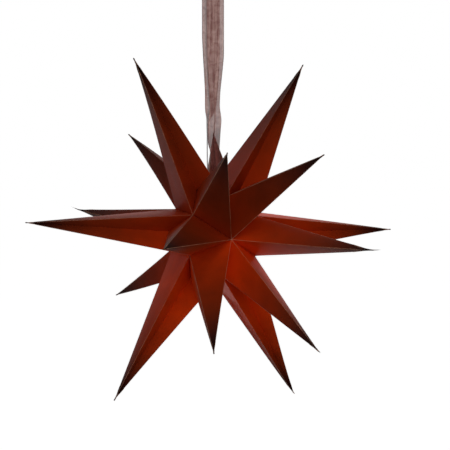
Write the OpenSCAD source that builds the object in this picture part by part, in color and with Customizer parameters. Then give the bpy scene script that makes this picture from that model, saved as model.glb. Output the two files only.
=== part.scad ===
// Paper star with eighteen points, hung by a ribbon.
// Six leaves stand round a level spine that runs from the front pole to the back pole (-Y to +Y).
// Each leaf carries a front point, a long point and a back point, folded from card and glued
// to its neighbours along the valleys. The opening between the first and last leaf is at the top.
// The origin is where a hook bears, under the top of the ribbon's loop.

/* [Star] */
// Width from tip to tip of two opposite long points
span = 550; // [440:5:660]
// Distance of the front and back tips from the spine
slant_r = 147; // [130:1:180]
// Distance of the front and back tips from the middle plane
slant_h = 230; // [200:1:260]
// Distance of each pole from the middle plane, along the spine
pole_h = 74; // [66:1:82]
// Distance from the spine of the place where a long point meets a front or back point on the ridge
ridge_r = 72; // [66:1:78]
// Distance of that place from the middle plane
ridge_h = 10; // [6:0.5:14]
// Distance of the valley corners from the spine
valley_r = 56; // [50:0.5:60]
// Distance of the valley corners from the middle plane
valley_h = 40; // [34:0.5:46]
// Angle between the two leaves beside the opening
seam_gap = 55; // [50:0.5:62]
// Turn of the star on its ribbon, clockwise seen from the front
hang_turn = 3; // [-6:0.5:6]

/* [Card] */
// Thickness of the card
card_t = 0.35; // [0.25:0.05:0.6]

/* [Slot] */
// Length of the slot at the top, along the spine
slot_l = 40; // [34:1:50]
// Width of the slot across the opening
slot_w = 9; // [7:0.5:12]

/* [Ribbon] */
// Width of the ribbon
ribbon_w = 26; // [20:1:32]
// Thickness of one layer of the ribbon
ribbon_t = 0.4; // [0.3:0.05:0.8]
// Height of the loop's top above the spine
loop_top = 348; // [300:2:420]
// Width of the loop at its top, front to back
loop_gap = 9; // [7:0.5:12]
// Sideways offset between the two layers at the top
layer_shift = 5; // [2:0.5:8]
// Width of the knot under the slot
knot_w = 17; // [15:0.5:20]
// Height of the knot
knot_h = 10; // [8:0.5:12]

/* [Hidden] */
LEAVES = 6;

FRONT = 1;
BACK = -1;

// A star opened by hand isn't quite even: how far each leaf leans from its even place, in degrees
leaf_lean = [-1, -0.5, 1, -0.5, 1, 0];

// Every tip ends in a flattened sliver of card, and some are bent over:
// [point, leaf, length of the sliver as a share of the point, bend of its end in X, Y and Z]
plain_tip = [0.022, [0, 0, 0]];
worn_tips = [
    ["front", 1, 0.062, [3.5, 0, 1]],
    ["front", 2, 0.025, [1.5, 0, -1]],
    ["long", 2, 0.028, [2.5, 0, 1.2]],
    ["back", 4, 0.062, [-4, 0, 3.2]]];

// A point narrows to its sliver from this many slivers' lengths, and the hollow in it ends at the second
NECK_START = 3;
HOLLOW_END = 1.5;
// Size of the sliver, as a share of what a straight taper would have where the sliver starts
NECK_SIZE = 0.3;

leaf_step = (360 - seam_gap) / (LEAVES - 1);
half_leaf = 180 / LEAVES;
long_r = span / 2;

function leaf(k) = hang_turn + seam_gap / 2 + k * leaf_step + leaf_lean[k];

// Valley k lies before leaf k, and valley 0 is the opening
function valley(k) = k % LEAVES == 0
    ? (leaf(0) + leaf(LEAVES - 1) - 360) / 2
    : (leaf(k - 1) + leaf(k)) / 2;

// A place at an angle clockwise from the top, r from the spine and h in front of the middle plane
function at(angle, r, h) = [r * sin(angle), -h, r * cos(angle)];

// The corners of one even half leaf, with its ridge at angle 0, as a guide for the card's inside
even_pole = at(0, 0, pole_h);
even_slant = at(0, slant_r, slant_h);
even_ridge = at(0, ridge_r, ridge_h);
even_long = at(0, long_r, 0);
even_dip = at(half_leaf, valley_r, valley_h);
even_dip_back = at(half_leaf, valley_r, -valley_h);

function unit(v) = v / norm(v);
function outward(a, b, c) = let (n = unit(cross(b - a, c - a))) n * a < 0 ? -n : n;

// The outward normals of the four faces that meet at a valley corner
n_top = outward(even_pole, even_slant, even_dip);
n_under = outward(even_slant, even_ridge, even_dip);
n_pinch = outward(even_long, even_ridge, even_dip);
n_flank = outward(even_long, even_dip, even_dip_back);

// A normal seen in a plane through the spine at an angle: [away from the spine, to the front]
function in_plane(n, angle) = [n * at(angle, 1, 0), n * at(angle, 0, 1)];

// The step [r, h] inwards that lies one card's thickness below both faces
function below_two(n, m) = card_t * [n[1] - m[1], m[0] - n[0]] / cross(n, m);

// The step inwards that suits several faces best, by least squares
function below_all(list) = let (
        xx = [for (n = list) n[0] * n[0]] * [for (n = list) 1],
        xy = [for (n = list) n[0] * n[1]] * [for (n = list) 1],
        yy = [for (n = list) n[1] * n[1]] * [for (n = list) 1],
        x = [for (n = list) n[0]] * [for (n = list) 1],
        y = [for (n = list) n[1]] * [for (n = list) 1])
    -card_t * [x * yy - y * xy, y * xx - x * xy] / (xx * yy - xy * xy);

step_slant = below_two(in_plane(n_top, 0), in_plane(n_under, 0));
step_ridge = below_two(in_plane(n_under, 0), in_plane(n_pinch, 0));
step_dip = below_all([for (n = [n_top, n_under, n_pinch, n_flank]) in_plane(n, half_leaf)]);
step_pole = card_t / abs(in_plane(n_top, 0)[1]);
step_long = card_t / abs(in_plane(n_flank, 0)[0]);

// Corners of the star: layer 0 is the outside of the card and layer 1 its inside
function pole(side, layer) = at(0, 0, side * (pole_h - layer * step_pole));
function slant_tip(k, side, layer) =
    at(leaf(k), slant_r + layer * step_slant[0], side * (slant_h + layer * step_slant[1]));
function long_tip(k, layer) = at(leaf(k), long_r - layer * step_long, 0);
function ridge(k, side, layer) =
    at(leaf(k), ridge_r + layer * step_ridge[0], side * (ridge_h + layer * step_ridge[1]));
function dip(k, side, layer) =
    at(valley(k), valley_r + layer * step_dip[0], side * (valley_h + layer * step_dip[1]));

// The rims of the points, outside and inside, clockwise seen from the tip
function slant_rim(k, side, layer) = let (
        corners = [pole(side, layer), dip(k, side, layer), ridge(k, side, layer), dip(k + 1, side, layer)])
    side == FRONT ? corners : [for (i = [0, 3, 2, 1]) corners[i]];
function long_rim(k, layer) = [
    ridge(k, FRONT, layer), dip(k, FRONT, layer), dip(k, BACK, layer),
    ridge(k, BACK, layer), dip(k + 1, BACK, layer), dip(k + 1, FRONT, layer)];

// How a tip ends: [the sliver's share of the length, the bend of its end]
function tip_end(kind, k) = let (found = [for (t = worn_tips) if (t[0] == kind && t[1] == k) t])
    len(found) == 0 ? plain_tip : [found[0][2], found[0][3]];

function middle(list) = [for (c = [0:2]) [for (p = list) p[c]] * [for (p = list) 1]] / len(list);

// One ring of a point's wall, at a share of the way from the tip to the rim and at a size of its own
function ring(rim, tip, share, size, shift) = let (centre = middle(rim))
    [for (corner = rim) tip + (centre - tip) * share + (corner - centre) * size + shift];

// The faces of a wall of several rings that ends in a tip, from the first point's number
function wall_faces(n, rows, first) = concat(
    [for (j = [0:1:rows - 2], i = [0:n - 1]) let (a = first + j * n + i, b = first + j * n + (i + 1) % n)
        each [[a, b, b + n], [a, b + n, a + n]]],
    [for (i = [0:n - 1]) let (a = first + (rows - 1) * n)
        [a + i, a + (i + 1) % n, a + n]]);

// A hollow folded point of card: a fan of faces from the rim to the tip, outside and inside, with the
// glued edges between them. Its tip is a solid sliver. Rim corners that are dips set how an edge that
// isn't flat is divided, so that neighbours meet face to face.
module folded_point(rim_out, rim_in, tip_out, tip_in, dips, end) {
    n = len(rim_out);
    sliver = end[0];
    // Rings of the outside: [share of the length, size, share of the bend]
    outer = [
        [1, 1, 0],
        [NECK_START * sliver, NECK_START * sliver, 0],
        [sliver, NECK_SIZE * sliver, 0],
        [sliver * 2 / 3, NECK_SIZE * sliver, 1 / 9],
        [sliver / 3, NECK_SIZE * sliver * 0.8, 4 / 9]];
    inner = [[1, 1], [NECK_START * sliver, NECK_START * sliver]];
    layer = n * len(outer) + 1;
    points = concat(
        [for (r = outer) each ring(rim_out, tip_out, r[0], r[1], end[1] * r[2])], [tip_out + end[1]],
        [for (r = inner) each ring(rim_in, tip_in, r[0], r[1], [0, 0, 0])],
        [tip_in + (middle(rim_in) - tip_in) * HOLLOW_END * sliver]);
    inside = [for (f = wall_faces(n, len(inner), layer)) [f[0], f[2], f[1]]];
    edge = [for (a = [0:n - 1]) let (b = (a + 1) % n)
        each dips[a] ? [[a, a + layer, b + layer], [a, b + layer, b]]
                     : [[a, a + layer, b], [b, a + layer, b + layer]]];
    polyhedron(points, concat(wall_faces(n, len(outer), 0), inside, edge));
}

// The slot at the top, half in each of the two long points beside the opening
module slot() {
    rotate([0, valley(0), 0])
        translate([0, 0, valley_r / 2])
            linear_extrude(valley_r)
                union() {
                    square([slot_w, slot_l - slot_w], center = true);
                    for (side = [FRONT, BACK])
                        translate([0, side * (slot_l - slot_w) / 2])
                            circle(d = slot_w, $fn = 48);
                }
}

module slant_point(k, side, kind) {
    folded_point(slant_rim(k, side, 0), slant_rim(k, side, 1),
        slant_tip(k, side, 0), slant_tip(k, side, 1), [false, true, false, true], tip_end(kind, k));
}

module front_point(k) color([0.48, 0.12, 0.05]) slant_point(k, FRONT, "front");

module back_point(k) color([0.40, 0.10, 0.05]) slant_point(k, BACK, "back");

module long_point(k) {
    color([0.44, 0.12, 0.07])
        difference() {
            folded_point(long_rim(k, 0), long_rim(k, 1), long_tip(k, 0), long_tip(k, 1),
                [false, true, true, false, true, true], tip_end("long", k));
            if (k == 0 || k == LEAVES - 1) slot();
        }
}

// Ribbon: one strip that rises from the knot, turns over at the top of the loop and comes down again
// The knot lies up against the slot's edges, where the two long points rise from the valley.
slot_x = valley_r * sin(valley(0));
opening_half = leaf(0) - valley(0);
flank_slope = (long_r * cos(opening_half) - valley_r) / (long_r * sin(opening_half));
slot_edge = valley_r + step_dip[0] + flank_slope * slot_w / 2;
seat_gap = 0.3;
knot_top = slot_edge * cos(valley(0)) - seat_gap;
loop_r = loop_gap / 2;
gather_w = slot_w / 2 - 0.6;
gather_t = 1.2;
knot_round = 3;
LOOP_STEPS = 8;
strand_top = loop_top - loop_r - ribbon_t / 2;
strand_base = knot_top - knot_round / 2;

// The way up: [share of the height, share of the full width, sideways]
climb = [
    [0, 0, 0], [0.03, 0, 0], [0.085, 0.5, -2.6], [0.16, 0.56, -3.2], [0.4, 0.62, -4.6],
    [0.55, 0.7, -5.2], [0.67, 0.92, -5], [0.76, 1, -4.8], [1, 1, -4.8]];
top_x = slot_x + climb[len(climb) - 1][2];

// One strand from the knot to the start of the loop's top. Each of its stations, like those of the
// loop's top, is [sideways, front to back, height, width, thickness].
function strand(side) = [for (c = climb) let (
        close = gather_t * 0.7,
        spread = close + (loop_r - close) * pow(c[0], 3))
    [slot_x + c[2] - side * layer_shift / 2 * c[1],
        -side * spread,
        strand_base + c[0] * (strand_top - strand_base),
        gather_w + (ribbon_w - gather_w) * c[1],
        gather_t + (ribbon_t - gather_t) * min(1, c[1] * 2)]];

function loop_arc() = [for (j = [1:LOOP_STEPS - 1]) let (turn = 180 * j / LOOP_STEPS)
    [top_x - cos(turn) * layer_shift / 2, -loop_r * cos(turn), strand_top + loop_r * sin(turn),
        ribbon_w, ribbon_t]];

ribbon_path = let (down = strand(BACK))
    concat(strand(FRONT), loop_arc(), [for (i = [len(down) - 1:-1:0]) down[i]]);

// The direction of the path in the YZ plane at station i
function heading(i) = let (a = ribbon_path[max(0, i - 1)], b = ribbon_path[min(len(ribbon_path) - 1, i + 1)])
    unit([0, b[1] - a[1], b[2] - a[2]]);

function ribbon_section(i) = let (s = ribbon_path[i], d = heading(i), across = [0, -d[2], d[1]])
    [for (c = [[-1, -1], [1, -1], [1, 1], [-1, 1]])
        [s[0], s[1], s[2]] + [c[0] * s[3] / 2, 0, 0] + across * c[1] * s[4] / 2];

module ribbon_strip() {
    n = len(ribbon_path);
    last = 4 * (n - 1);
    points = [for (i = [0:n - 1]) each ribbon_section(i)];
    sides = [for (i = [0:n - 2], j = [0:3]) let (a = 4 * i + j, b = 4 * i + (j + 1) % 4)
        each [[a, b + 4, a + 4], [a, b, b + 4]]];
    ends = [[0, 2, 1], [0, 3, 2], [last, last + 1, last + 2], [last, last + 2, last + 3]];
    polyhedron(points, concat(sides, ends));
}

module knot() {
    inner = knot_w / 2 - knot_round;
    translate([slot_x, 0, knot_top - knot_h])
        rotate_extrude($fn = 48)
            union() {
                square([inner, knot_h]);
                translate([0, knot_round])
                    square([knot_w / 2, knot_h - 2 * knot_round]);
                for (z = [knot_round, knot_h - knot_round])
                    translate([inner, z])
                        circle(r = knot_round, $fn = 32);
            }
}

module ribbon() {
    color([0.55, 0.42, 0.40]) {
        ribbon_strip();
        knot();
    }
}

// Puts the star, drawn round its own middle, under the hook
module hung() translate([-top_x, 0, ribbon_t - loop_top]) children();

for (k = [0:LEAVES - 1]) {
    hung() front_point(k);
    hung() long_point(k);
    hung() back_point(k);
}
hung() ribbon();
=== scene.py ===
import math
import random

import bmesh
import bpy
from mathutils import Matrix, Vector


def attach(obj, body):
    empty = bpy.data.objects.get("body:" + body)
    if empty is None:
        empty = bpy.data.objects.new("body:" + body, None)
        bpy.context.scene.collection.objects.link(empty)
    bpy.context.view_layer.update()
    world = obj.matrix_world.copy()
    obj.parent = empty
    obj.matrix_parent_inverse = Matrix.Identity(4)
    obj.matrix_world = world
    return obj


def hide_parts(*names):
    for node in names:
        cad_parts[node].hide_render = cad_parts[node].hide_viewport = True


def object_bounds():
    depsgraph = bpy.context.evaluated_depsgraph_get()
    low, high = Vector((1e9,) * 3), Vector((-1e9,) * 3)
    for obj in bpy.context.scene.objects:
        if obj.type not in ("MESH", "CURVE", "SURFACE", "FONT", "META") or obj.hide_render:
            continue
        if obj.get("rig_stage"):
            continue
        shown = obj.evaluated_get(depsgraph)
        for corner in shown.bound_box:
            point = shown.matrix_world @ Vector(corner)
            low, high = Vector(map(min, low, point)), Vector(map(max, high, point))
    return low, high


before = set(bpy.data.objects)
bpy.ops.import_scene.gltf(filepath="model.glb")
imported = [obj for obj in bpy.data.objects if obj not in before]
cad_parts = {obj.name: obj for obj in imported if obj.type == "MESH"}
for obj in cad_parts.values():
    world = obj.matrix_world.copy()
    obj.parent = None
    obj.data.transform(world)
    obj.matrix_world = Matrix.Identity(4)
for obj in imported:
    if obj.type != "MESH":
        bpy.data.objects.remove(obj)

cad_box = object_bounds()

# Camera
# The photograph's view: a little from the left and above, about 2.2 m from the middle of the star.
star_middle = Vector((0.002357, 0, -0.3476))
azimuth = math.radians(-19.208)
elevation = math.radians(7.126)
camera_distance = 2.190586
camera_shift_right = 0.015063
camera_shift_up = 0.011664
sensor_width = 36
focal_pixels = 1531.405
image_pixels = 450
to_camera = Vector((
    math.sin(azimuth) * math.cos(elevation),
    -math.cos(azimuth) * math.cos(elevation),
    math.sin(elevation)))
camera_right = Vector((math.cos(azimuth), math.sin(azimuth), 0))
camera_up = to_camera.cross(camera_right)
eye = (star_middle + to_camera * camera_distance
       + camera_right * camera_shift_right + camera_up * camera_shift_up)
bpy.ops.object.select_all(action="DESELECT")
bpy.ops.object.camera_add(location=eye, rotation=to_camera.to_track_quat("Z", "Y").to_euler())
camera = bpy.context.object
camera.name = "camera"
camera.data.sensor_width = sensor_width
camera.data.sensor_fit = "HORIZONTAL"
camera.data.lens = focal_pixels / image_pixels * sensor_width
camera.data.clip_start = 0.05
camera.data.clip_end = 60
bpy.context.scene.camera = camera
bpy.context.scene.view_settings.view_transform = "Standard"

# Floor and studio
# A matt white studio floor below the hanging star and a white room round it.
# The camera and reflections see the room white, whatever light it gives.
floor_z = -1.7
floor_radius = 14


def linear(code):
    """An sRGB hex colour as linear red, green, blue and alpha."""
    parts = [int(code[i:i + 2], 16) / 255 for i in (1, 3, 5)]
    return [c / 12.92 if c <= 0.04045 else ((c + 0.055) / 1.055) ** 2.4 for c in parts] + [1]


def add_node(material, kind, settings=(), links=()):
    """Adds one node: settings are attributes or socket values by name, links are (socket, from)."""
    nodes = material.node_tree.nodes
    new = nodes.new(kind)
    for name, value in dict(settings).items():
        if isinstance(name, str) and hasattr(new, name) and name not in new.inputs:
            setattr(new, name, value)
        else:
            new.inputs[name].default_value = value
    for socket, source in dict(links).items():
        material.node_tree.links.new(source, new.inputs[socket])
    return new


def seen_directly(material):
    """1 for what the camera sees, straight on, in a reflection or through something, and 0 otherwise."""
    ray = add_node(material, "ShaderNodeLightPath")
    seen = add_node(material, "ShaderNodeMath", {"operation": "MAXIMUM"}, {
        0: ray.outputs["Is Camera Ray"], 1: ray.outputs["Is Glossy Ray"]})
    seen_through = add_node(material, "ShaderNodeMath", {"operation": "MAXIMUM"}, {
        0: seen.outputs[0], 1: ray.outputs["Is Transmission Ray"]})
    return seen_through.outputs[0]


bpy.ops.object.select_all(action="DESELECT")
bpy.ops.mesh.primitive_circle_add(
    vertices=96, radius=floor_radius, fill_type="NGON", location=(0, 0, floor_z))
floor = bpy.context.object
floor.name = "floor"
bpy.ops.object.transform_apply(location=True, rotation=True, scale=True)
floor_paint = bpy.data.materials.new("matt_white_floor_paint")
floor_paint.use_nodes = True
floor_paint.node_tree.nodes.clear()
matt = add_node(floor_paint, "ShaderNodeBsdfDiffuse", {"Color": linear("#E6E4E1")})
glow = add_node(floor_paint, "ShaderNodeEmission", {"Color": (1, 1, 1, 1), "Strength": 0.985})
both = add_node(floor_paint, "ShaderNodeAddShader", (), {0: matt.outputs[0], 1: glow.outputs[0]})
chosen = add_node(floor_paint, "ShaderNodeMixShader", (), {
    0: seen_directly(floor_paint), 1: matt.outputs[0], 2: both.outputs[0]})
add_node(floor_paint, "ShaderNodeOutputMaterial", (), {"Surface": chosen.outputs[0]})
floor.data.materials.append(floor_paint)
floor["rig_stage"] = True

room = bpy.data.worlds.new("white_room")
bpy.context.scene.world = room
room.use_nodes = True
room.node_tree.nodes.clear()
room_light = add_node(room, "ShaderNodeBackground", {"Color": (1, 1, 1, 1), "Strength": 0.02})
room_seen = add_node(room, "ShaderNodeBackground", {"Color": (1, 1, 1, 1), "Strength": 1.0})
chosen = add_node(room, "ShaderNodeMixShader", (), {
    0: seen_directly(room), 1: room_light.outputs[0], 2: room_seen.outputs[0]})
add_node(room, "ShaderNodeOutputWorld", (), {"Surface": chosen.outputs[0]})

# Each lamp: name, direction from the star, distance and size across in metres, and power in watts
lamps = [
    ("front_softbox", (-0.26, -0.81, 0.53), 2.0, 1.1, 9.9),
    ("near_front_softbox", (0, -1, 0), 0.75, 0.6, 1.92),
    ("low_left_bounce", (-0.53, 0, -0.85), 2.0, 1.1, 8.7),
    ("near_left_bounce", (-0.95, -0.31, 0), 0.75, 0.6, 0.64),
    ("right_softbox", (0.69, 0.5, 0.53), 2.0, 1.1, 20.7),
    ("back_softbox", (-0.2, 0.95, 0.2), 2.0, 1.1, 8.0)]
for name, direction, distance, size, watts in lamps:
    direction = Vector(direction).normalized()
    bpy.ops.object.light_add(
        type="AREA", location=star_middle + direction * distance,
        rotation=direction.to_track_quat("Z", "Y").to_euler())
    lamp = bpy.context.object
    lamp.name = name
    lamp.data.shape = "DISK"
    lamp.data.size = size
    lamp.data.energy = watts
    lamp.visible_camera = False
    lamp.visible_glossy = False

# Front points
# Six four-sided points that lean to the viewer, each folded from one sheet of rust-red card of
# about 300 g/m2 (0.35 mm), dyed through and calendered to a satin face, and glued along the valleys.
card_thickness = 0.00035
fold_width = 0.0009
# With its glued flaps the card ends six layers thick, about 2 mm, so a tip stays this far round its line
tip_half_width = 0.00105
tip_starts = 0.84
tip_is_stout = 0.92
# A corner of the mesh that is closer to a fold's line than this lies on it
on_fold = 0.00004
# Half the width of the pale strip along a fold, part scuff and part painted highlight, and how far from a
# corner it is palest
scuffed_beside_fold = 0.0005
scuffed_round_corner = 0.006
# Strips across a point, closer together near the rim and the tip, and along each panel
strips_across = (0.04, 0.12, 0.21, 0.31, 0.42, 0.53, 0.64, 0.75, 0.84, 0.9, 0.94, 0.97, 0.99)
strips_along = (0.25, 0.5, 0.75)
# Each panel's own bow, in and out, by the middle of the panel
least_bow = -0.0004
most_bow = 0.0011
# The angle round the spine, clockwise from the top, where the painted light on the card is brightest, how
# strongly it swings round the spine, and the most that painted light and shade may reach
brightest_painted_angle = 153
painted_light_swing = 0.7
most_painted_light = 0.65


def card_material(name, painted_light_table, worn_and_highlight):
    """Dyed and calendered card: a fibre mottle in the dye, a faint tooth, and paler folds, partly scuffed
    and partly a painted highlight.
    The attribute depth holds painted light and shade, 0 to 1: a painted glow, most near the middle and low
    on one side, and painted shade that goes almost black at the tips. The attribute depth holds how warm
    the card looks, 0 to 1: most near the middle and low on one side, perhaps from daylight through the
    card, and almost black at the tips. It is painted to match the photograph, not worked out from light,
    so it stays where it is under other light."""
    card = bpy.data.materials.new(name)
    card.use_nodes = True
    shader = card.node_tree.nodes["Principled BSDF"]
    link = card.node_tree.links.new
    where = add_node(card, "ShaderNodeTexCoord")
    # Clouds of dye about 25 mm across, and fibre flocks of 2 mm (real ones are finer)
    clouds = add_node(card, "ShaderNodeTexNoise", {"Scale": 40, "Detail": 2, "Roughness": 0.5},
                      {"Vector": where.outputs["Object"]})
    flocks = add_node(card, "ShaderNodeTexNoise", {"Scale": 520, "Detail": 3, "Roughness": 0.6},
                      {"Vector": where.outputs["Object"]})
    mixed = add_node(card, "ShaderNodeMath", {"operation": "MULTIPLY_ADD", 1: 0.45}, {
        0: flocks.outputs["Fac"], 2: clouds.outputs["Fac"]})
    mottle = add_node(card, "ShaderNodeMapRange", {1: 0.45, 2: 1.0, 3: 0.86, 4: 1.16}, {
        0: mixed.outputs[0]})
    # The attribute depth carries painted light and shade, which the ramp below turns into colour
    depth = add_node(card, "ShaderNodeAttribute", {"attribute_name": "depth"})
    shade = add_node(card, "ShaderNodeMath", {"operation": "MULTIPLY"}, {
        0: depth.outputs["Fac"], 1: mottle.outputs[0]})
    dye_and_painted_light = add_node(card, "ShaderNodeValToRGB", (), {"Fac": shade.outputs[0]})
    while len(dye_and_painted_light.color_ramp.elements) < len(painted_light_table):
        dye_and_painted_light.color_ramp.elements.new(0.5)
    for stop, (position, code) in zip(dye_and_painted_light.color_ramp.elements, painted_light_table):
        stop.position = position
        stop.color = linear(code)
    # The folds: the attribute is over 1 on a fold's line, most at its corners, and 0 beside it. The pale
    # colour there is partly the scuffed card and partly a painted highlight.
    #     The scuffs come and go along it.
    fold = add_node(card, "ShaderNodeAttribute", {"attribute_name": "fold"})
    scuffs = add_node(card, "ShaderNodeTexNoise", {"Scale": 90, "Detail": 3}, {
        "Vector": where.outputs["Object"]})
    scuffed = add_node(card, "ShaderNodeMapRange", {1: 0.35, 2: 0.7, 3: 0.35, 4: 1.0}, {
        0: scuffs.outputs["Fac"]})
    worn_and_highlight_mask = add_node(card, "ShaderNodeMath", {"operation": "MULTIPLY", "use_clamp": True}, {
        0: fold.outputs["Fac"], 1: scuffed.outputs[0]})
    colour = add_node(card, "ShaderNodeMix", {"data_type": "RGBA"}, {0: worn_and_highlight_mask.outputs[0]})
    link(dye_and_painted_light.outputs["Color"], colour.inputs[6])
    colour.inputs[7].default_value = linear(worn_and_highlight)
    link(colour.outputs[2], shader.inputs["Base Color"])
    # Satin: the tooth of the sheet breaks the gloss up a little
    gloss = add_node(card, "ShaderNodeMapRange", {1: 0.3, 2: 0.7, 3: 0.36, 4: 0.46}, {
        0: flocks.outputs["Fac"]})
    link(gloss.outputs[0], shader.inputs["Roughness"])
    tooth = add_node(card, "ShaderNodeBump", {"Strength": 0.25, "Distance": 0.0002}, {
        "Height": flocks.outputs["Fac"]})
    sag = add_node(card, "ShaderNodeTexNoise", {"Scale": 9, "Detail": 1}, {
        "Vector": where.outputs["Object"]})
    bowed = add_node(card, "ShaderNodeBump", {"Strength": 1.0, "Distance": 0.004}, {
        "Height": sag.outputs["Fac"], "Normal": tooth.outputs["Normal"]})
    link(bowed.outputs["Normal"], shader.inputs["Normal"])
    shader.inputs["IOR"].default_value = 1.06
    return card


def select_faces(mesh, wanted):
    """In edit mode, selects just the faces that wanted(face) picks."""
    bpy.ops.mesh.select_all(action="DESELECT")
    for face in mesh.faces:
        if wanted(face):
            face.select_set(True)
    mesh.select_flush_mode()


def fold_point(node, name, tip, corners, mountains, bow, painted_light_table, bent):
    """A card point as it is folded, from the outside of its CAD node. Its corners run round the rim.
    The panels are cut into strips and bowed, the mountain folds are rounded, and the card gets its
    thickness back inside. Bent is how far the tip has been knocked to the right and up, in mm, and
    the power by which that grows along the point."""
    bpy.ops.object.select_all(action="DESELECT")
    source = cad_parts[node]
    point = source.copy()
    point.data = source.data.copy()
    bpy.context.collection.objects.link(point)
    for key in [k for k in point.keys() if k.startswith("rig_")]:
        del point[key]
    point.parent = None
    point.matrix_world.identity()
    point.name = name
    point.data.name = name
    bpy.context.view_layer.objects.active = point
    point.select_set(True)
    middle = sum(corners, Vector()) / len(corners)
    axis = (tip - middle).normalized()
    reach = (tip - middle).length
    bpy.ops.object.mode_set(mode="EDIT")
    bpy.ops.mesh.select_mode(type="FACE")
    bpy.ops.mesh.select_all(action="SELECT")
    bpy.ops.mesh.remove_doubles(threshold=0.000005)
    mesh = bmesh.from_edit_mesh(point.data)

    # The outside is what faces away from the point's middle line; the rest is the inside and the rim
    def is_inside(face):
        out = face.calc_center_median() - middle
        out = out - axis * out.dot(axis)
        return face.normal.dot(axis) < -0.3 or face.normal.dot(out.normalized()) < 0.02

    select_faces(mesh, is_inside)
    bpy.ops.mesh.delete(type="FACE")
    bpy.ops.mesh.select_all(action="SELECT")
    bpy.ops.mesh.dissolve_limited(angle_limit=math.radians(0.3))

    for share in strips_across:
        bpy.ops.mesh.select_all(action="SELECT")
        bpy.ops.mesh.bisect(plane_co=middle + axis * reach * share, plane_no=axis)
    panels = []
    for i, corner in enumerate(corners):
        after = corners[(i + 1) % len(corners)]
        facing = (after - corner).cross(tip - corner).normalized()
        if facing.dot((corner + after) / 2 - middle) < 0:
            facing.negate()
        panels.append((corner, after, facing))
    for corner, after, facing in panels:
        def in_panel(face):
            flat = abs((face.calc_center_median() - tip).dot(facing)) < 0.0002
            return flat and face.normal.dot(facing) > 0.995
        for share in strips_along:
            mesh = bmesh.from_edit_mesh(point.data)
            select_faces(mesh, in_panel)
            along = tip - corner.lerp(after, share)
            bpy.ops.mesh.bisect(plane_co=tip, plane_no=along.cross(facing).normalized())

    # Each panel is bowed out a little between its folds, by its own amount
    mesh = bmesh.from_edit_mesh(point.data)
    for corner, after, facing in panels:
        amount = bow.uniform(least_bow, most_bow)
        for vertex in mesh.verts:
            if abs((vertex.co - tip).dot(facing)) > 0.00005:
                continue
            # Where the line from the tip through the vertex meets the rim, and how far along it is
            side = (after - corner).normalized()
            rise = side.cross(facing)
            far = (vertex.co - tip).dot(rise) / (corner - tip).dot(rise)
            if far < 0.05:
                continue
            foot = tip + (vertex.co - tip) / far
            across = (foot - corner).dot(side) / (after - corner).length
            if 0.01 < across < 0.99 and far < 0.999:
                lift = math.sin(math.pi * across) * math.sin(math.pi * min(1, far)) ** 0.8
                vertex.co += facing * amount * lift
    bmesh.update_edit_mesh(point.data)

    # The mountain folds are rounded as card this thick folds, right to the corners of the rim
    bpy.ops.mesh.select_mode(type="EDGE")
    bpy.ops.mesh.select_all(action="DESELECT")
    mesh = bmesh.from_edit_mesh(point.data)

    def off_line(spot, corner):
        along = (tip - corner).normalized()
        gap = spot - corner
        return (gap - along * gap.dot(along)).length

    for edge in mesh.edges:
        for corner in mountains:
            if all(off_line(v.co, corner) < on_fold for v in edge.verts):
                if all((v.co - tip).length > 0.1 * reach for v in edge.verts):
                    edge.select_set(True)
    bmesh.update_edit_mesh(point.data)
    bpy.ops.mesh.bevel(offset=fold_width, segments=2, profile=0.5, affect="EDGES", clamp_overlap=False)
    bpy.ops.object.mode_set(mode="OBJECT")
    for corner in mountains:
        near = min(point.data.vertices, key=lambda v: (v.co - corner).length)
        near.co = corner

    # The stout tip
    for vertex in point.data.vertices:
        gap = vertex.co - middle
        along = gap.dot(axis) / reach
        aside = gap - axis * gap.dot(axis)
        least = tip_half_width * max(0.0, min(1.0, (along - tip_starts) / (tip_is_stout - tip_starts)))
        if 0.00002 < aside.length < least:
            vertex.co += aside.normalized() * (least - aside.length)

    # The card keeps its thickness up to the last few millimetres, where the folded tip closes up
    full = point.vertex_groups.new(name="full_thickness")
    for vertex in point.data.vertices:
        share = (tip - vertex.co).length / reach
        full.add([vertex.index], max(0.0, min(1.0, (share - 0.015) / 0.06)), "REPLACE")
    wall = point.modifiers.new("card", "SOLIDIFY")
    wall.thickness = card_thickness
    wall.offset = -1
    wall.vertex_group = full.name
    wall.thickness_vertex_group = 0.02
    wall.use_rim = True
    bpy.ops.object.modifier_apply(modifier=wall.name)
    point.vertex_groups.clear()

    # What the material reads: where the folds are pale, part scuffed and part painted highlight, and the
    # painted light and shade of the card
    fold = point.data.attributes.new("fold", "FLOAT", "POINT")
    depth = point.data.attributes.new("depth", "FLOAT", "POINT")
    for vertex in point.data.vertices:
        nearest = min(off_line(vertex.co, corner) for corner in mountains)
        near = min((vertex.co - corner).length for corner in mountains)
        scuffs = 1.15 + 1.2 * math.exp(-near / scuffed_round_corner)
        fold.data[vertex.index].value = scuffs if nearest < scuffed_beside_fold else 0.0
        # Painted light and shade along the point, from its table
        along = max(0.0, min(1.0, (vertex.co - middle).dot(axis) / reach))
        stop = next(i for i in range(1, len(painted_light_table)) if along <= painted_light_table[i][0])
        (low, low_value), (high, high_value) = painted_light_table[stop - 1], painted_light_table[stop]
        value = low_value + (high_value - low_value) * (along - low) / (high - low)
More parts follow.
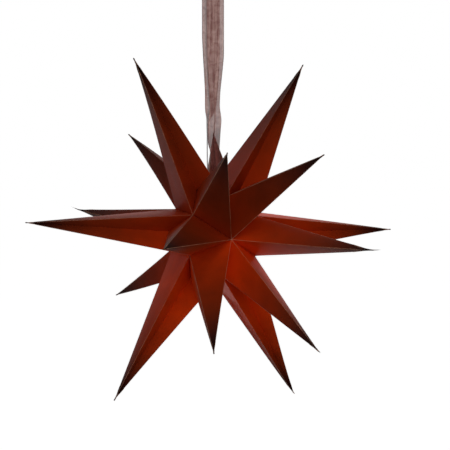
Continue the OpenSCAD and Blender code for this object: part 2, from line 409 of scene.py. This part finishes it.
        # Painted light round the spine, brightest on one side and fading out towards the tip
        round_spine = math.atan2(vertex.co.x - star_middle.x, vertex.co.z - star_middle.z)
        painted_light_round_spine = math.cos(round_spine - math.radians(brightest_painted_angle)) * (1 - 0.6 * along)
        depth.data[vertex.index].value = min(most_painted_light, value * math.exp(painted_light_swing * painted_light_round_spine))
    for vertex in point.data.vertices:
        along = max(0.0, (vertex.co - middle).dot(axis) / reach)
        vertex.co += Vector((bent[0], 0, bent[1])) / 1000 * along ** bent[2]
    bpy.ops.object.shade_smooth_by_angle(angle=math.radians(25))
    point.data.materials.clear()
    point.data.materials.append(card)
    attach(point, "root")
    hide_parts(node)


def star_place(angle, out, forward):
    """A place on the star: an angle clockwise from the top, out from the spine and forward, in mm."""
    turn = math.radians(angle)
    return star_middle + Vector((out * math.sin(turn), -forward, out * math.cos(turn))) / 1000


# Colours from the painted shade at the tips, near black, up to the painted glow near the middle; the last
# colour is the folds', part scuffed card and part painted highlight
card = card_material("satin_card_with_painted_light", [
    (0.0, "#0A0604"), (0.03, "#33120C"), (0.08, "#501C0E"), (0.16, "#70240C"), (0.28, "#912A0B"),
    (0.45, "#B3330B"), (0.65, "#D23C0A")], "#AC7A62")
bow = random.Random(11)
# Painted light and shade along a point, a glow by the rim fading to painted shade at the tip: share of the
# way from rim to tip, and depth
front_painted_light = [(0, 0.55), (0.2, 0.33), (0.4, 0.21), (0.65, 0.11), (0.8, 0.045), (0.88, 0.01), (1, 0.003)]
# Tips knocked over in use: right and up in mm, and the bend's power along the point
front_bends = [(0, 0, 1), (3.7, 1.1, 6), (2.5, -1.7, 6), (0.9, -1.7, 4), (0, 0, 1), (0, 0, 1)]
leaf_angles = [29.5, 91, 153.5, 213, 275.5, 335.5]
valley_angles = [2.5, 60.25, 122.25, 183.25, 244.25, 305.5, 362.5]
# The star's corners in mm: out from the spine, and forward of its middle
pole_forward = 74
ridge_out = 72
ridge_forward = 10
valley_out = 56
valley_forward = 40
slant_tip_out = 147
slant_tip_forward = 230


def slant_point(ring, k, way, bends):
    """One four-sided point of the ring that leans forward, way 1, or back, way -1."""
    leaf = leaf_angles[k]
    rim = [star_place(0, 0, way * pole_forward),
           star_place(valley_angles[k], valley_out, way * valley_forward),
           star_place(leaf, ridge_out, way * ridge_forward),
           star_place(valley_angles[k + 1], valley_out, way * valley_forward)]
    tip = star_place(leaf, slant_tip_out, way * slant_tip_forward)
    node = f"{ring}_point_{k + 1}"
    fold_point(node, "card_" + node, tip, rim, rim, bow, front_painted_light, bends[k])


for k in range(6):
    slant_point("front", k, 1, front_bends)

# Long points
# Six points in the middle ring, of the same card, each with a crease pinched in down its front and
# its back, so that it has six panels. The two by the opening leave a slot for the ribbon and a cable.
# Painted light and shade along a long point: share of the way from rim to tip, and depth
long_painted_light = [(0, 0.6), (0.2, 0.46), (0.4, 0.3), (0.65, 0.17), (0.8, 0.075), (0.88, 0.016), (1, 0.003)]
long_bends = [(0, 0, 1), (3, -1.4, 4), (3.9, -2.6, 10), (-1.2, -2.8, 4), (-0.5, 0, 4), (-4.6, 0, 3)]
long_tip_out = 275
for k in range(6):
    leaf = leaf_angles[k]
    left_valley = valley_angles[k]
    right_valley = valley_angles[k + 1]
    rim = [star_place(leaf, ridge_out, ridge_forward),
           star_place(left_valley, valley_out, valley_forward),
           star_place(left_valley, valley_out, -valley_forward),
           star_place(leaf, ridge_out, -ridge_forward),
           star_place(right_valley, valley_out, -valley_forward),
           star_place(right_valley, valley_out, valley_forward)]
    mountains = [rim[i] for i in (1, 2, 4, 5)]
    fold_point(f"long_point_{k + 1}", f"card_long_point_{k + 1}", star_place(leaf, long_tip_out, 0),
               rim, mountains, bow, long_painted_light, long_bends[k])

# Back points
# Six four-sided points that lean away from the viewer, of the same card, folded and glued along the
# valleys like the front ones.
back_bends = [(4.4, 0, 1.5), (0, 0, 1), (0, 0, 1), (-4.6, 0.8, 3), (-3.8, 2.1, 6), (-1.5, -4.8, 3)]
for k in range(6):
    slant_point("back", k, -1, back_bends)

# Ribbon
# One length of sheer mauve-brown organza, 26 mm wide, doubled over the hook. Its two runs lie a little
# apart and are pleated together on their way down into the slot, the back one turned edge on there.
ribbon_width = 26
loop_radius = 4.5
row_spacing = 3
loop_steps = 12
# Each row, from the top down: height, left edge, right edge, how far back, and how far it is turned
# edge on, all in mm but the last
front_run = [
    (-4.3, -10.9, 15.2, -4.5, 0), (-69, -10.9, 15.2, -4.3, 0), (-97, -10.4, 15.2, -4.1, 0),
    (-122, -9, 12.7, -3.9, 0), (-146, -7, 10, -3.7, 0), (-167, -5.5, 9.1, -3.6, 0),
    (-176, -6.2, 10.5, -3.6, 0), (-186, -8, 12.1, -3.6, 0), (-197, -8.6, 10.9, -3.5, 0),
    (-207, -8.9, 10.2, -3.4, 0.1), (-220, -8.4, 9.4, -3.3, 0.2), (-228, -5.2, 8.8, -3.2, 0.3),
    (-243, -4.6, 9.9, -3.2, 0.3), (-260, -3.2, 9.7, -3.2, 0.4), (-280, 0.9, 8.2, -3, 0.8),
    (-296, 1.6, 7.6, -2.4, 0.8)]
back_run = [
    (-4.3, -14.4, 11.9, 4.5, 0), (-69, -14.4, 11.9, 4.4, 0), (-97, -13, 11.9, 4.3, 0),
    (-122, -11.5, 10.6, 4.2, 0), (-146, -10.2, 8.4, 4.2, 0), (-167, -10.3, 6.9, 4.2, 0.1),
    (-176, -9.3, 3.7, 5.5, 0.4), (-183, -6.9, 0.6, 7.5, 0.8), (-191, -6.5, -4.1, 9.5, 1),
    (-207, -6, -4.3, 9.5, 1), (-228, -6, -4.4, 9.5, 1), (-243, -6, -4.4, 9.3, 1),
    (-258, -5.6, -3.8, 9, 1), (-272, -1.4, 2, 8, 1), (-284, 3.2, 7.1, 5.5, 1), (-296, 3, 8.2, 3.5, 1)]
across_count = 36
pleat_steps = 180


def pleat(left, right, back, turned, pleats, drift, depth):
    """Places across the ribbon between two edges. The pleats take up what is left of its width."""
    width = right - left

    def walk(fullness):
        x, y, trail = 0.0, 0.0, [(0.0, 0.0)]
        step = width / pleat_steps
        for i in range(pleat_steps):
            turn = 2 * math.pi * pleats * (i + 0.5) / pleat_steps + drift
            x += step * (1 + fullness * (1 - turned) * math.cos(turn))
            y += step * fullness * (0.35 + turned) * math.sin(turn + 0.9)
            trail.append((x, y))
        least = min(x for x, _ in trail)
        squeeze = width / (max(x for x, _ in trail) - least)
        trail = [((x - least) * squeeze, y) for x, y in trail]
        return trail, sum(math.dist(a, b) for a, b in zip(trail, trail[1:]))

    low, high = 0.0, 40.0
    for _ in range(26):
        fullness = (low + high) / 2
        if walk(fullness)[1] < ribbon_width:
            low = fullness
        else:
            high = fullness
    trail = walk(low)[0]
    end_y = trail[-1][1]
    mean_y = sum(y for _, y in trail) / len(trail)
    places = []
    for j in range(across_count + 1):
        share = j / across_count
        x, y = trail[round(share * pleat_steps)]
        y = y - mean_y - end_y * (share - 0.5)
        # The pleats stand along the way the ribbon hangs seen from the room, so they run back and right
        places.append(Vector((left + x + 0.33 * y, back + y, depth)))
    return places


def run_rows(rows, pleats):
    """A run's places, from the top down, a row every few mm, with the rows' corners eased."""
    row_count = int((rows[0][0] - rows[-1][0]) / row_spacing) + 1
    heights = [rows[0][0] - row_spacing * i for i in range(row_count)]
    values = []
    for height in heights:
        i = next(i for i in range(1, len(rows)) if height >= rows[i][0] - 0.001)
        share = (height - rows[i - 1][0]) / (rows[i][0] - rows[i - 1][0])
        values.append([a + (b - a) * share for a, b in zip(rows[i - 1][1:], rows[i][1:])])
    for _ in range(2):
        values = [values[0]] + [
            [(a + 2 * b + c) / 4 for a, b, c in zip(*values[i - 1:i + 2])]
            for i in range(1, len(values) - 1)] + [values[-1]]
    return [pleat(*value, pleats, (rows[0][0] - height) / 90, height)
            for height, value in zip(heights, values)]


front_rows = run_rows(front_run, 2)
back_rows = run_rows(back_run, 1.5)
loop_rows = []
for step in range(1, loop_steps):
    turn = math.pi * step / loop_steps
    share = (1 - math.cos(turn)) / 2
    rise = loop_radius * math.sin(turn)
    loop_rows.append([
        a.lerp(b, share) + Vector((0, (-loop_radius * math.cos(turn)) - a.lerp(b, share).y, rise))
        for a, b in zip(front_rows[0], back_rows[0])])
ribbon_rows = front_rows[::-1] + loop_rows + back_rows
ribbon_mesh = bpy.data.meshes.new("organza_ribbon")
strip = bmesh.new()
cloth = strip.loops.layers.uv.new("cloth")
painted_layer_shade = strip.verts.layers.float.new("painted_layer_shade")
grid = []
for row in ribbon_rows:
    grid.append([strip.verts.new(place / 1000) for place in row])
    span = max(place.x for place in row) - min(place.x for place in row)
    # Painted shade: darker where it is narrower than about 18 mm and its pleats lie on each other, and low
    # down
    layers = max((18 - span) / 7, (-190 - row[0].z) / 18)
    for vertex in grid[-1]:
        vertex[painted_layer_shade] = max(0.0, min(1.0, layers))
middles = [row[across_count // 2] for row in ribbon_rows]
run_length = [0.0]
for a, b in zip(middles, middles[1:]):
    run_length.append(run_length[-1] + (b.z - a.z if a.z == b.z else math.hypot(b.z - a.z, b.y - a.y)))
for i in range(len(grid) - 1):
    for j in range(across_count):
        face = strip.faces.new((grid[i][j], grid[i][j + 1], grid[i + 1][j + 1], grid[i + 1][j]))
        face.smooth = True
        for loop, (di, dj) in zip(face.loops, ((0, 0), (0, 1), (1, 1), (1, 0))):
            loop[cloth].uv = ((j + dj) / across_count * ribbon_width / 1000, run_length[i + di] / 1000)
strip.to_mesh(ribbon_mesh)
strip.free()
ribbon = bpy.data.objects.new("organza_ribbon", ribbon_mesh)
bpy.context.collection.objects.link(ribbon)

# Polyester organza, plain woven of fine twisted threads: sheer, with a soft lustre, closer and darker
# at its selvedges. The real threads lie 0.25 mm apart and are drawn 1.2 mm apart, so that they show.
organza = bpy.data.materials.new("organza_with_painted_shade")
organza.use_nodes = True
shader = organza.node_tree.nodes["Principled BSDF"]
link = organza.node_tree.links.new
along_cloth = add_node(organza, "ShaderNodeUVMap", {"uv_map": "cloth"})
stretched = add_node(organza, "ShaderNodeMapping", {"Scale": (1, 0.045, 1)}, {
    "Vector": along_cloth.outputs["UV"]})
streaks = add_node(organza, "ShaderNodeTexNoise", {"Scale": 330, "Detail": 3, "Roughness": 0.6}, {
    "Vector": stretched.outputs["Vector"]})
crumples = add_node(organza, "ShaderNodeTexNoise", {"Scale": 120, "Detail": 3, "Distortion": 0.8}, {
    "Vector": along_cloth.outputs["UV"]})
warp = add_node(organza, "ShaderNodeTexWave", {"Scale": 265, "bands_direction": "X"}, {
    "Vector": along_cloth.outputs["UV"]})
weft = add_node(organza, "ShaderNodeTexWave", {"Scale": 265, "bands_direction": "Y"}, {
    "Vector": along_cloth.outputs["UV"]})
woven = add_node(organza, "ShaderNodeMath", {"operation": "ADD"}, {
    0: warp.outputs["Fac"], 1: weft.outputs["Fac"]})
uneven = add_node(organza, "ShaderNodeMath", {"operation": "MULTIPLY_ADD", 1: 2.2}, {
    0: streaks.outputs["Fac"], 2: woven.outputs[0]})
sheer = add_node(organza, "ShaderNodeMapRange", {1: 1.0, 2: 3.2, 3: 0.78, 4: 0.95}, {
    0: uneven.outputs[0]})
side = add_node(organza, "ShaderNodeSeparateXYZ", (), {"Vector": along_cloth.outputs["UV"]})
off_middle = add_node(organza, "ShaderNodeMath", {"operation": "SUBTRACT", 1: 0.013}, {
    0: side.outputs["X"]})
off_middle = add_node(organza, "ShaderNodeMath", {"operation": "ABSOLUTE"}, {0: off_middle.outputs[0]})
selvedge = add_node(organza, "ShaderNodeMapRange", {1: 0.0120, 2: 0.0124, 3: 0.0, 4: 1.0}, {
    0: off_middle.outputs[0]})
alpha = add_node(organza, "ShaderNodeMath", {"operation": "MAXIMUM"}, {
    0: sheer.outputs[0], 1: selvedge.outputs[0]})
link(alpha.outputs[0], shader.inputs["Alpha"])
# The lengthwise streaks are the threads' own unevenness; the lighter crumples are a painted highlight on
# the puckers
half = add_node(organza, "ShaderNodeMath", {"operation": "MULTIPLY", 1: 0.6}, {0: streaks.outputs["Fac"]})
streaks_and_pucker_highlights = add_node(organza, "ShaderNodeMath", {"operation": "MULTIPLY_ADD", 1: 0.4}, {
    0: crumples.outputs["Fac"], 2: half.outputs[0]})
threads = add_node(organza, "ShaderNodeValToRGB", (), {"Fac": streaks_and_pucker_highlights.outputs[0]})
for stop, (position, code) in zip(threads.color_ramp.elements, ((0.38, "#835049"), (0.62, "#CCA49B"))):
    stop.position = position
    stop.color = linear(code)
edged = add_node(organza, "ShaderNodeMix", {"data_type": "RGBA"}, {0: selvedge.outputs[0]})
link(threads.outputs["Color"], edged.inputs[6])
edged.inputs[7].default_value = linear("#7C645F")
# Painted shade: where it is gathered and its layers lie on each other, and low down, the colour is darkened
# for the light that comes through them less
layer_shade_attribute = add_node(organza, "ShaderNodeAttribute", {"attribute_name": "painted_layer_shade"})
shaded_by_layers = add_node(organza, "ShaderNodeMix", {"data_type": "RGBA", "blend_type": "MULTIPLY"}, {
    0: layer_shade_attribute.outputs["Fac"]})
link(edged.outputs[2], shaded_by_layers.inputs[6])
shaded_by_layers.inputs[7].default_value = linear("#A27470")
link(shaded_by_layers.outputs[2], shader.inputs["Base Color"])
puckers = add_node(organza, "ShaderNodeBump", {"Strength": 0.5, "Distance": 0.0015}, {
    "Height": crumples.outputs["Fac"]})
link(puckers.outputs["Normal"], shader.inputs["Normal"])
shader.inputs["Roughness"].default_value = 0.5
shader.inputs["IOR"].default_value = 1.3
shader.inputs["Sheen Weight"].default_value = 0.15
ribbon.data.materials.append(organza)

# Ribbon knot
# The two ends of the ribbon are tied in a plain overhand knot that is too big for the slot. It holds
# the star from inside, just under the slot's edges.
# All in mm: the middle of the knot, and the bunched ribbon's half thickness, loops and rise in it
knot_centre = Vector((4.8, 0, -296.3))
knot_mesh = bpy.data.meshes.new("ribbon_knot")
tied = bmesh.new()
cloth = tied.loops.layers.uv.new("cloth")
turns = 96
sides = 14
rope = 2.5
knot_half_width = 1.75
knot_rise = 2.2


def knot_place(turn):
    """The overhand knot's middle line."""
    return knot_centre + Vector((
        (math.sin(turn) + 2 * math.sin(2 * turn)) * knot_half_width,
        (math.cos(turn) - 2 * math.cos(2 * turn)) * knot_half_width,
        -knot_rise * math.sin(3 * turn)))


rings = []
for i in range(turns):
    turn = 2 * math.pi * i / turns
    ahead = (knot_place(turn + 0.01) - knot_place(turn - 0.01)).normalized()
    across = ahead.cross(Vector((0, 0, 1))).normalized()
    above = across.cross(ahead)
    ring = []
    for j in range(sides):
        spin = 2 * math.pi * j / sides
        pleated = rope * (1 + 0.07 * math.cos(5 * spin + 2 * turn))
        outward = across * math.cos(spin) + above * math.sin(spin)
        ring.append(tied.verts.new((knot_place(turn) + outward * pleated) / 1000))
    rings.append(ring)
for i in range(turns):
    for j in range(sides):
        after_i, after_j = (i + 1) % turns, (j + 1) % sides
        face = tied.faces.new((rings[i][j], rings[i][after_j], rings[after_i][after_j], rings[after_i][j]))
        face.smooth = True
        for loop, (di, dj) in zip(face.loops, ((0, 0), (0, 1), (1, 1), (1, 0))):
            loop[cloth].uv = (0.001 + (j + dj) / sides * 0.0235, (i + di) / turns * 0.07)
bmesh.ops.recalc_face_normals(tied, faces=tied.faces[:])
tied.to_mesh(knot_mesh)
tied.free()
knot = bpy.data.objects.new("ribbon_knot", knot_mesh)
bpy.context.collection.objects.link(knot)
knot.data.materials.append(organza)
for piece in (ribbon, knot):
    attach(piece, "root")
    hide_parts("ribbon")

size = {"cad": [list(corner) for corner in cad_box], "visual": [list(corner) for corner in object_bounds()]}
